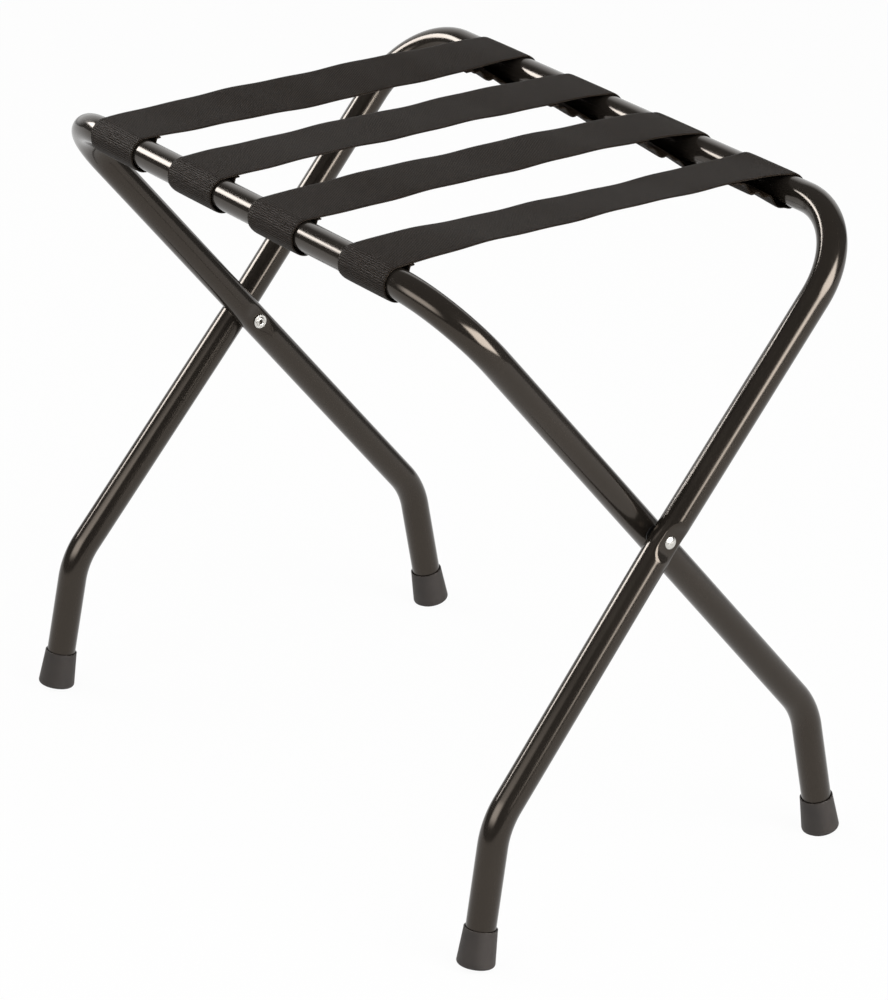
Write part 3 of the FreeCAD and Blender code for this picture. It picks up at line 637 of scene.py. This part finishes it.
def webbing_tree():
    tree, given = new_tree("ribbed_webbing", {
        "Width": float, "Thickness": float, "Ribs": int, "Rows per Rib": int, "Columns": int,
        "Rib Depth": float, "Length": float, "Finish": bpy.types.Material})
    curve = add_node(tree, "GeometryNodeMeshToCurve", {"Mesh": given["Path"]})
    tilt = add_node(tree, "GeometryNodeInputNamedAttribute", {"Name": "tilt"})
    tilted = add_node(tree, "GeometryNodeSetCurveTilt", {
        "Curve": curve.outputs["Curve"], "Tilt": tilt.outputs["Attribute"]})
    rows = add_node(tree, "ShaderNodeMath", {0: given["Ribs"], 1: given["Rows per Rib"], 2: 1.0},
                    operation="MULTIPLY_ADD")
    even = add_node(tree, "GeometryNodeResampleCurve", {
        "Curve": tilted.outputs["Curve"], "Count": rows.outputs[0]}, mode="COUNT")
    share = add_node(tree, "GeometryNodeSplineParameter").outputs["Factor"]
    line = add_node(tree, "GeometryNodeStoreNamedAttribute", {
        "Geometry": even.outputs["Curve"], "Name": "along", "Value": share})

    # Superellipse section, from a unit circle.
    circle = add_node(tree, "GeometryNodeCurvePrimitiveCircle", {
        "Resolution": given["Columns"], "Radius": 1.0})
    unit = add_node(tree, "ShaderNodeSeparateXYZ", {
        "Vector": add_node(tree, "GeometryNodeInputPosition").outputs["Position"]}).outputs
    section = []
    for axis, extent, power in SECTION:
        size = add_node(tree, "ShaderNodeMath", {0: unit[axis]}, operation="ABSOLUTE")
        size = add_node(tree, "ShaderNodeMath", {0: size.outputs[0], 1: power}, operation="POWER")
        half = add_node(tree, "ShaderNodeMath", {0: given[extent], 1: 0.5}, operation="MULTIPLY")
        size = add_node(tree, "ShaderNodeMath", {0: size.outputs[0], 1: half.outputs[0]},
                        operation="MULTIPLY")
        side = add_node(tree, "ShaderNodeMath", {0: unit[axis]}, operation="SIGN")
        section.append(add_node(tree, "ShaderNodeMath", {0: size.outputs[0], 1: side.outputs[0]},
                                operation="MULTIPLY").outputs[0])
    outline = add_node(tree, "ShaderNodeCombineXYZ", {"X": section[0], "Y": section[1]})
    profile = add_node(tree, "GeometryNodeSetPosition", {
        "Geometry": circle.outputs["Curve"], "Position": outline.outputs["Vector"]})
    across = add_node(tree, "GeometryNodeStoreNamedAttribute", {
        "Geometry": profile.outputs["Geometry"], "Name": "across",
        "Value": add_node(tree, "ShaderNodeSeparateXYZ", {
            "Vector": add_node(tree, "GeometryNodeInputPosition").outputs["Position"]}).outputs["X"]})
    band = add_node(tree, "GeometryNodeCurveToMesh", {
        "Curve": line.outputs["Geometry"], "Profile Curve": across.outputs["Geometry"], "Fill Caps": True})

    # Height of the rib under each row: an arch between two sharp grooves, fading at the woven edges.
    where = add_node(tree, "GeometryNodeInputNamedAttribute", {"Name": "along"}).outputs["Attribute"]
    turn = add_node(tree, "ShaderNodeMath", {0: given["Ribs"], 1: math.pi}, operation="MULTIPLY")
    turn = add_node(tree, "ShaderNodeMath", {0: turn.outputs[0], 1: where}, operation="MULTIPLY")
    arch = add_node(tree, "ShaderNodeMath", {0: turn.outputs[0]}, operation="SINE")
    arch = add_node(tree, "ShaderNodeMath", {0: arch.outputs[0]}, operation="ABSOLUTE")
    lift = add_node(tree, "ShaderNodeMath", {0: arch.outputs[0], 1: MEAN_ARCH}, operation="SUBTRACT")
    lift = add_node(tree, "ShaderNodeMath", {0: lift.outputs[0], 1: given["Rib Depth"]}, operation="MULTIPLY")
    column = add_node(tree, "GeometryNodeInputNamedAttribute", {"Name": "across"}).outputs["Attribute"]
    inwards = add_node(tree, "ShaderNodeMath", {0: column}, operation="ABSOLUTE")
    full = add_node(tree, "ShaderNodeMath", {0: given["Width"], 1: 0.5}, operation="MULTIPLY")
    bare = add_node(tree, "ShaderNodeMath", {0: given["Width"], 1: SELVEDGE_START}, operation="MULTIPLY")
    woven = add_node(tree, "ShaderNodeMapRange", {
        "Value": inwards.outputs[0], "From Min": full.outputs[0], "From Max": bare.outputs[0],
        "To Min": SELVEDGE_RIB, "To Max": 1.0})
    lift = add_node(tree, "ShaderNodeMath", {0: lift.outputs[0], 1: woven.outputs["Result"]},
                    operation="MULTIPLY")
    push = add_node(tree, "ShaderNodeVectorMath", {
        0: add_node(tree, "GeometryNodeInputNormal").outputs["Normal"], "Scale": lift.outputs[0]},
        operation="SCALE")
    ribbed = add_node(tree, "GeometryNodeSetPosition", {
        "Geometry": band.outputs["Mesh"], "Offset": push.outputs["Vector"]})

    # What the cloth material reads: the rib's height, and the place on the strap in metres.
    high = add_node(tree, "GeometryNodeStoreNamedAttribute", {
        "Geometry": ribbed.outputs["Geometry"], "Name": "rib_height", "Value": arch.outputs[0]})
    metres = add_node(tree, "ShaderNodeMath", {0: where, 1: given["Length"]}, operation="MULTIPLY")
    place = add_node(tree, "ShaderNodeCombineXYZ", {"X": column, "Y": metres.outputs[0]})
    mapped = add_node(tree, "GeometryNodeStoreNamedAttribute", data_type="FLOAT_VECTOR")
    tree.links.new(high.outputs["Geometry"], mapped.inputs["Geometry"])
    mapped.inputs["Name"].default_value = "strap_place"
    tree.links.new(place.outputs["Vector"], mapped.inputs["Value"])
    smooth = add_node(tree, "GeometryNodeSetShadeSmooth", {"Geometry": mapped.outputs["Geometry"]})
    real = add_node(tree, "GeometryNodeRealizeInstances", {"Geometry": smooth.outputs["Geometry"]})
    done = add_node(tree, "GeometryNodeSetMaterial", {
        "Geometry": real.outputs["Geometry"], "Material": given["Finish"]})
    add_node(tree, "NodeGroupOutput", {"Piece": done.outputs["Geometry"]})
    return tree


RIBBED_WEBBING = webbing_tree()
print("the webbing tree has %d nodes" % len(RIBBED_WEBBING.nodes))

# %% [markdown]
# A strap belongs to both frames: folding the bench brings the bars together, and the slack webbing has to
# follow both. Each strap here is attached to the inner frame only. In the folded bench the tube comes up to
# 2 mm through the webbing, on the side of the front bar that faces the other one.

# %% Four straps
ROWS_PER_RIB = 5
BAND_COLUMNS = 36


def sew_strap(number, strap):
    line, tilts = strap_line(strap)
    length = sum((after - before).length for before, after in zip(line, line[1:]))
    band = grow(polyline("webbing_strap_%d" % number, [line], {"tilt": tilts}), RIBBED_WEBBING,
                Width=STRAP_WIDTH, Thickness=STRAP_THICK, Ribs=round(length / RIB_PITCH),
                Rows_per_Rib=ROWS_PER_RIB, Columns=BAND_COLUMNS, Rib_Depth=RIB_DEPTH, Length=length,
                Finish=WEBBING)
    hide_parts("strap_%d" % number)
    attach(band, "inner_frame")
    print("strap %d is cut %.0f mm long" % (number, length / MM))
    return band, length


SEWN = [sew_strap(number, strap) for number, strap in enumerate(STRAPS, 1)]

# %% [markdown]
# ## Turned pieces
#
# Rivets, washers and rubber tips are all round, so half a section says everything. A turner's lathe or a
# mould gives them small rounded edges, and those edges are what catches the light. One function rounds the
# corners of a section and turns it about its own axis, then stands it where it belongs.

# %% Rounded sections
EDGE_STEPS = 8


def rounded(corners):
    """Section with its corners rounded; each corner is (radius, height, edge radius) in millimetres."""
    section = []
    for number, (radius, height, edge) in enumerate(corners):
        corner = Vector((radius, height))
        if edge == 0:
            section.append(corner)
            continue
        before = (Vector(corners[number - 1][:2]) - corner).normalized()
        after = (Vector(corners[(number + 1) % len(corners)][:2]) - corner).normalized()
        half = before.angle(after) / 2
        centre = corner + (before + after).normalized() * (edge / math.sin(half))
        first = corner + before * (edge / math.tan(half)) - centre
        last = corner + after * (edge / math.tan(half)) - centre
        sweep = first.angle_signed(last)
        for step in range(EDGE_STEPS + 1):
            turn = -sweep * step / EDGE_STEPS
            section.append(centre + Vector((first.x * math.cos(turn) - first.y * math.sin(turn),
                                            first.x * math.sin(turn) + first.y * math.cos(turn))))
    return section


# %% [markdown]
# Turning a section makes a ring of points from each of its points and a row of faces between each two
# neighbours. A point on the axis stays one point, so the pole is closed. The place is written into the mesh,
# because the object itself stays at the origin.

# %% Lathe
TURNED_SIDES = 96


def turn_section(name, section, place, axis, finish, closed):
    """Turns a section about its own height, which then points along the axis from the place."""
    stand = Matrix.Translation(place) @ axis.to_track_quat("Z", "Y").to_matrix().to_4x4()
    points, rings, faces = [], [], []
    for spot in section:
        if spot.x == 0:
            rings.append([len(points)] * TURNED_SIDES)
            points.append(Vector((0, 0, spot.y)))
            continue
        rings.append([len(points) + side for side in range(TURNED_SIDES)])
        points += [Vector((spot.x * math.cos(turn), spot.x * math.sin(turn), spot.y))
                   for turn in [2 * math.pi * side / TURNED_SIDES for side in range(TURNED_SIDES)]]
    pairs = list(zip(rings, rings[1:]))
    if closed:
        pairs.append((rings[-1], rings[0]))
    for lower, upper in pairs:
        for side in range(TURNED_SIDES):
            onward = (side + 1) % TURNED_SIDES
            face = [lower[side], lower[onward], upper[onward], upper[side]]
            faces.append(sorted(set(face), key=face.index))
    mesh = bpy.data.meshes.new(name)
    mesh.from_pydata([stand @ (point * MM) for point in points], [], faces)
    mesh.materials.append(finish)
    mesh.shade_smooth()
    piece = bpy.data.objects.new(name, mesh)
    bpy.context.scene.collection.objects.link(piece)
    return piece


def stands_for(piece, node, body):
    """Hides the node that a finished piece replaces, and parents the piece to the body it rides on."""
    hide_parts(node)
    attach(piece, body)


# %% [markdown]
# ## Rubber tips
#
# Each foot ends in a moulded ferrule: a slightly flared cone with a soft edge round the sole and a thin lip
# at the rim, pushed over the end of the tube. The shank leans, so the sole meets the floor on one edge, and
# use wears that edge flat. Every point that would lie under the floor is lifted to it.

# %% Rubber tips
TIP_SECTION = [(0, 0, 0), (14.3, 0, 2.6), (12.4, 26.9, 0.5), (12.4, 28.5, 0.45), (11.45, 28.5, 0.25),
               (11.25, 27.2, 0), (11.25, 6.05, 0), (0, 6.05, 0)]


def rubber_tip(body, side_name, leg):
    tip = turn_section("rubber_tip_%s_%s" % (body, side_name), rounded(TIP_SECTION), leg["sole"], leg["rise"],
                       RUBBER, closed=False)
    for vertex in tip.data.vertices:
        vertex.co.z = max(vertex.co.z, 0)
    stands_for(tip, "foot_tip_%s_%s" % (body, side_name), body + "_frame")


for body, legs in LEGS.items():
    for (side_name, _), leg in zip(SIDES, legs):
        rubber_tip(body, side_name, leg)
print("made four rubber tips")

# %% [markdown]
# ## Rivets and washers
#
# A semi-tubular rivet goes in from outside, with a plain domed head in the dent of the outer leg. Its
# hollow end is rolled outwards over a zinc washer on the inside of the inner leg, which leaves the little
# ring with a hole that one sees there. A nylon washer keeps the two tubes apart.

# %% Rivets and washers
CLINCH_FACE = INNER_HALF - TUBE_RADIUS + SEAT_DEPTH - CLINCH_THICK
STACK = 4 * TUBE_RADIUS + LEG_GAP + RUNNING_GAP + CLINCH_THICK - DENT_DEPTH - SEAT_DEPTH

# The rivet's own section, in millimetres: radii, and heights from its rolled end.
LIP_STEPS, DOME_STEPS = 16, 20
ROLL_RISE = 1.1
LIP_MIDDLE = 2.6
BORE_RADIUS, BORE_END = 1.5, 8.1
SHANK_RADIUS = 3.15
HEAD_FACE = ROLL_RISE + STACK / MM
HEAD_RADIUS, HEAD_UNDER, HEAD_RISE, HEAD_EDGE = 4.75, 4.7, 1.8, 0.25

# Both kinds of washer: bore, outer radius, thickness and edge radius, in millimetres.
CLINCH_RING = (3.2, 5.5, CLINCH_THICK / MM, 0.22)
NYLON_RING = (3.2, 7.5, 0.75, 0.15)


def rivet_section():
    """Half a section, from the bottom of the bore over the rolled lip and along the shank to the dome."""
    lip = [Vector((LIP_MIDDLE - ROLL_RISE * math.cos(turn), ROLL_RISE * (1 - math.sin(turn))))
           for turn in [math.pi * step / LIP_STEPS for step in range(LIP_STEPS + 1)]]
    rise = HEAD_RISE - HEAD_EDGE
    dome_radius = (HEAD_RADIUS ** 2 + rise ** 2) / (2 * rise)
    reach = math.asin(HEAD_RADIUS / dome_radius)
    dome = [Vector((dome_radius * math.sin(turn),
                    HEAD_FACE + HEAD_RISE - dome_radius * (1 - math.cos(turn))))
            for turn in [reach * (1 - step / DOME_STEPS) for step in range(DOME_STEPS)]]
    bore = [Vector((0, BORE_END)), Vector((BORE_RADIUS, BORE_END))]
    shank = [Vector((SHANK_RADIUS, ROLL_RISE)), Vector((SHANK_RADIUS, HEAD_FACE)),
             Vector((HEAD_UNDER, HEAD_FACE))]
    return bore + lip + shank + dome + [Vector((0, HEAD_FACE + HEAD_RISE))]


def ring_section(inner, outer, thickness, edge):
    """Section of a washer that stands on the place where it is turned."""
    return rounded([(inner, 0, edge), (outer, 0, edge), (outer, thickness, edge), (inner, thickness, edge)])


for side_name, side in SIDES:
    outwards = Vector((side, 0, 0))
    face = Vector((side * CLINCH_FACE, 0, PIVOT_HEIGHT))
    rivet = turn_section("rivet_" + side_name, rivet_section(), face - outwards * ROLL_RISE * MM, outwards,
                         ZINC, closed=False)
    clinch = turn_section("clinch_ring_" + side_name, ring_section(*CLINCH_RING), face, outwards, ZINC,
                          closed=True)
    spacer = turn_section("nylon_ring_" + side_name, ring_section(*NYLON_RING),
                          Vector((side * (INNER_HALF + TUBE_RADIUS), 0, PIVOT_HEIGHT)), outwards, NYLON,
                          closed=True)
    stands_for(rivet, "pivot_rivet_" + side_name, "inner_frame")
    stands_for(clinch, "clinch_washer_" + side_name, "inner_frame")
    stands_for(spacer, "spacer_washer_" + side_name, "inner_frame")
print("made rivets, clinch washers and spacers")

# %% [markdown]
# ## The studio
#
# Black gloss shows little of itself and a lot of the room, so the room matters as much as the paint. The
# floor and the world are white to the eye. The floor shows mostly an even glow, and a little of the matt
# white paint that takes the bench's shadow. Over the bench hangs a dark tent, and in it stand white cards,
# as a studio sets them up for black gloss: only reflections see the tent and the cards. Three soft lamps
# and the world give the light that falls.

# %% Floor and world
FLOOR_HALF = 12
FLOOR_GLOW = 0.95
WORLD_LIGHT = 0.45
SQUARE = ((-1, -1), (1, -1), (1, 1), (-1, 1))


def seen_directly(tree):
    """1 for what the camera sees, also in a mirror or through glass, and 0 for the light that falls."""
    rays = add_node(tree, "ShaderNodeLightPath").outputs
    seen = add_node(tree, "ShaderNodeMath", {0: rays["Is Camera Ray"], 1: rays["Is Glossy Ray"]},
                    operation="MAXIMUM")
    return add_node(tree, "ShaderNodeMath", {0: seen.outputs[0], 1: rays["Is Transmission Ray"]},
                    operation="MAXIMUM").outputs[0]


def stage_piece(name, points, material):
    """A flat four-cornered piece of the studio."""
    mesh = bpy.data.meshes.new(name)
    mesh.from_pydata(points, [], [(0, 1, 2, 3)])
    mesh.materials.append(material)
    piece = bpy.data.objects.new(name, mesh)
    bpy.context.scene.collection.objects.link(piece)
    return piece


def pale_floor():
    material, tree = new_material("pale_studio_floor")
    part = add_node(tree, "ShaderNodeMath", {0: seen_directly(tree), 1: FLOOR_GLOW}, operation="MULTIPLY")
    matt = add_node(tree, "ShaderNodeBsdfDiffuse", {"Color": linear("#f4f4f2")})
    glow = add_node(tree, "ShaderNodeEmission", {"Color": linear("#ffffff"), "Strength": 1.0})
    mixed = add_node(tree, "ShaderNodeMixShader", {0: part.outputs[0], 1: matt.outputs["BSDF"],
                                                   2: glow.outputs["Emission"]})
    add_node(tree, "ShaderNodeOutputMaterial", {"Surface": mixed.outputs["Shader"]})
    return material


def light_world():
    world = bpy.data.worlds.new("white_studio")
    bpy.context.scene.world = world
    world.use_nodes = True
    tree = world.node_tree
    tree.nodes.clear()
    strength = add_node(tree, "ShaderNodeMapRange", {
        "Value": seen_directly(tree), "To Min": WORLD_LIGHT, "To Max": 1.0})
    glow = add_node(tree, "ShaderNodeBackground", {"Color": linear("#ffffff"),
                                                   "Strength": strength.outputs["Result"]})
    add_node(tree, "ShaderNodeOutputWorld", {"Surface": glow.outputs["Background"]})


stage_piece("studio_floor", [(x * FLOOR_HALF, y * FLOOR_HALF, 0) for x, y in SQUARE], pale_floor())
light_world()
print("the floor is %d metres wide" % (2 * FLOOR_HALF))

# %% [markdown]
# The cards stand round the bench. Each is given as seen from it, in degrees: its bearing, how high it
# hangs, half its width and half its height. Then comes how bright it is, where 1 is white, and over what
# share of its half width and height it fades out at the edge, because a sharp card leaves a hard stripe on
# a tube. The card behind is wide and dim.

# %% Cards
BENCH = Vector((0, 0, 0.35))
CARD_DISTANCE = 2.6
CARDS = {
    "card_left": (-153, 25.5, 12, 8, 18, 0.3),
    "card_right": (14, 20.5, 26, 20, 16, 0.45),
    "card_front": (-85, 23, 32, 17, 6, 0.7),
    "card_rear": (146, 18, 54, 30, 1.25, 0.6),
}


def bearing(azimuth, elevation):
    """Unit direction from an azimuth, anticlockwise from +X, and an elevation, both in degrees."""
    az, el = math.radians(azimuth), math.radians(elevation)
    return Vector((math.cos(az) * math.cos(el), math.sin(az) * math.cos(el), math.sin(el)))


def card_white(name, strength, softness):
    """White that glows, and fades out towards the card's edges over this share of its half width."""
    material, tree = new_material(name)
    place = add_node(tree, "ShaderNodeTexCoord").outputs["Object"]
    sides = add_node(tree, "ShaderNodeSeparateXYZ", {"Vector": place}).outputs
    level = strength
    for axis in ("X", "Y"):
        off = add_node(tree, "ShaderNodeMath", {0: sides[axis]}, operation="ABSOLUTE")
        fade = add_node(tree, "ShaderNodeMapRange", {
            "Value": off.outputs[0], "From Min": 1 - softness, "From Max": 1.0, "To Min": 1.0, "To Max": 0.0},
            interpolation_type="SMOOTHSTEP")
        level = add_node(tree, "ShaderNodeMath", {0: level, 1: fade.outputs["Result"]},
                         operation="MULTIPLY").outputs[0]
    glow = add_node(tree, "ShaderNodeEmission", {"Color": linear("#ffffff"), "Strength": level})
    add_node(tree, "ShaderNodeOutputMaterial", {"Surface": glow.outputs["Emission"]})
    return material


def only_in_reflections(piece):
    piece.visible_camera = piece.visible_diffuse = piece.visible_shadow = False
    piece.visible_transmission = piece.visible_volume_scatter = False


def hang_card(name, azimuth, elevation, half_width, half_height, strength, softness):
    outwards = bearing(azimuth, elevation)
    card = stage_piece(name, [(x, y, 0) for x, y in SQUARE], card_white(name + "_white", strength, softness))
    across = Vector((-outwards.y, outwards.x, 0)).normalized()
    wide = across * CARD_DISTANCE * math.tan(math.radians(half_width))
    high = outwards.cross(across) * CARD_DISTANCE * math.tan(math.radians(half_height))
    card.matrix_world = (Matrix.Translation(BENCH + outwards * CARD_DISTANCE)
                         @ Matrix((wide, high, -outwards)).transposed().to_4x4())
    only_in_reflections(card)


for name, place in CARDS.items():
    hang_card(name, *place)
print("the studio has %d cards" % len(CARDS))

# %% [markdown]
# The tent is a half sphere round the whole stage. It gives the black tubes something dark to mirror between
# the cards, and that is what makes them look deep and glossy.

# %% Tent
TENT_RADIUS = 8
TENT_SHADE = 0.14
TENT_SIDES, TENT_ROWS = 48, 12


def tent_cloth():
    material, tree = new_material("dark_tent_cloth")
    glow = add_node(tree, "ShaderNodeEmission", {"Color": linear("#ffffff"), "Strength": TENT_SHADE})
    add_node(tree, "ShaderNodeOutputMaterial", {"Surface": glow.outputs["Emission"]})
    return material


def hang_tent():
    points = [bearing(360 * turn / TENT_SIDES, 90 * row / TENT_ROWS) * TENT_RADIUS
              for row in range(TENT_ROWS + 1) for turn in range(TENT_SIDES)]
    faces = []
    for row in range(TENT_ROWS):
        for turn in range(TENT_SIDES):
            low, onward = row * TENT_SIDES, (turn + 1) % TENT_SIDES
            high = low + TENT_SIDES
            faces.append((low + turn, low + onward, high + onward, high + turn))
    mesh = bpy.data.meshes.new("dark_tent")
    mesh.from_pydata(points, [], faces)
    mesh.materials.append(tent_cloth())
    tent = bpy.data.objects.new("dark_tent", mesh)
    bpy.context.scene.collection.objects.link(tent)
    only_in_reflections(tent)


hang_tent()
print("the tent is %d metres wide" % (2 * TENT_RADIUS))

# %% [markdown]
# The lamps light the cloth, the rubber and the floor. They come from the sides of the three brighter cards
# and from higher up, and reflections don't show them, because there the cards stand in their place. Each is
# given by its bearing, its height in degrees, its width in metres and its level.

# %% Lamps
LAMPS = {
    "lamp_left": (-154.5, 40, 1.2, 0.22),
    "lamp_right": (15, 40, 1.6, 0.55),
    "lamp_front": (-84, 50, 1.6, 0.2),
}


def soft_lamp(name, azimuth, elevation, width, level):
    """A square lamp that would light a white card facing it to this level, where 1 is white."""
    outwards = bearing(azimuth, elevation)
    lamp = bpy.data.lights.new(name, "AREA")
    lamp.shape = "SQUARE"
    lamp.size = width
    lamp.energy = level * math.pi ** 2 * CARD_DISTANCE ** 2
    box = bpy.data.objects.new(name, lamp)
    turn = outwards.to_track_quat("Z", "Y").to_matrix().to_4x4()
    box.matrix_world = Matrix.Translation(BENCH + outwards * CARD_DISTANCE) @ turn
    box.visible_camera = box.visible_glossy = False
    bpy.context.scene.collection.objects.link(box)


for name, choice in LAMPS.items():
    soft_lamp(name, *choice)
print("the studio has %d lamps" % len(LAMPS))

# %% [markdown]
# ## The camera
#
# A long lens from a little above, looking down on the right front corner, shows the crossing legs, the
# straps and both kinds of loop. The picture shows colours as they are, with no film look laid over them.

# %% Camera
CAMERA = {"azimuth": 55.187, "elevation": 22.84, "roll": 0.074, "across": 0.0032, "up": -0.03451,
          "distance": 3.98539, "lens": 192.0, "sensor": 36, "aim_height": 0.2555}


def set_camera():
    az, el = math.radians(CAMERA["azimuth"]), math.radians(CAMERA["elevation"])
    back = Vector((math.sin(az) * math.cos(el), -math.cos(az) * math.cos(el), math.sin(el)))
    right = (-back).cross(Vector((0, 0, 1))).normalized()
    up = right.cross(-back)
    target = right * CAMERA["across"] + up * CAMERA["up"] + Vector((0, 0, CAMERA["aim_height"]))
    turn = Matrix((right, up, back)).transposed() @ Matrix.Rotation(math.radians(CAMERA["roll"]), 3, "Z")
    camera = bpy.data.objects.new("camera", bpy.data.cameras.new("camera"))
    camera.data.lens = CAMERA["lens"]
    camera.data.sensor_width = CAMERA["sensor"]
    camera.matrix_world = Matrix.Translation(target + back * CAMERA["distance"]) @ turn.to_4x4()
    bpy.context.scene.collection.objects.link(camera)
    bpy.context.scene.camera = camera


set_camera()
bpy.context.scene.view_settings.view_transform = "Standard"
print("the camera stands %.2f metres away" % CAMERA["distance"])

# %% [markdown]
# ## Last steps
#
# When all else stands, each strap is taken off its frame and its place is baked into its mesh.

for number, (band, length) in enumerate(SEWN, 1):
    band.parent = None
    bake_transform(band)
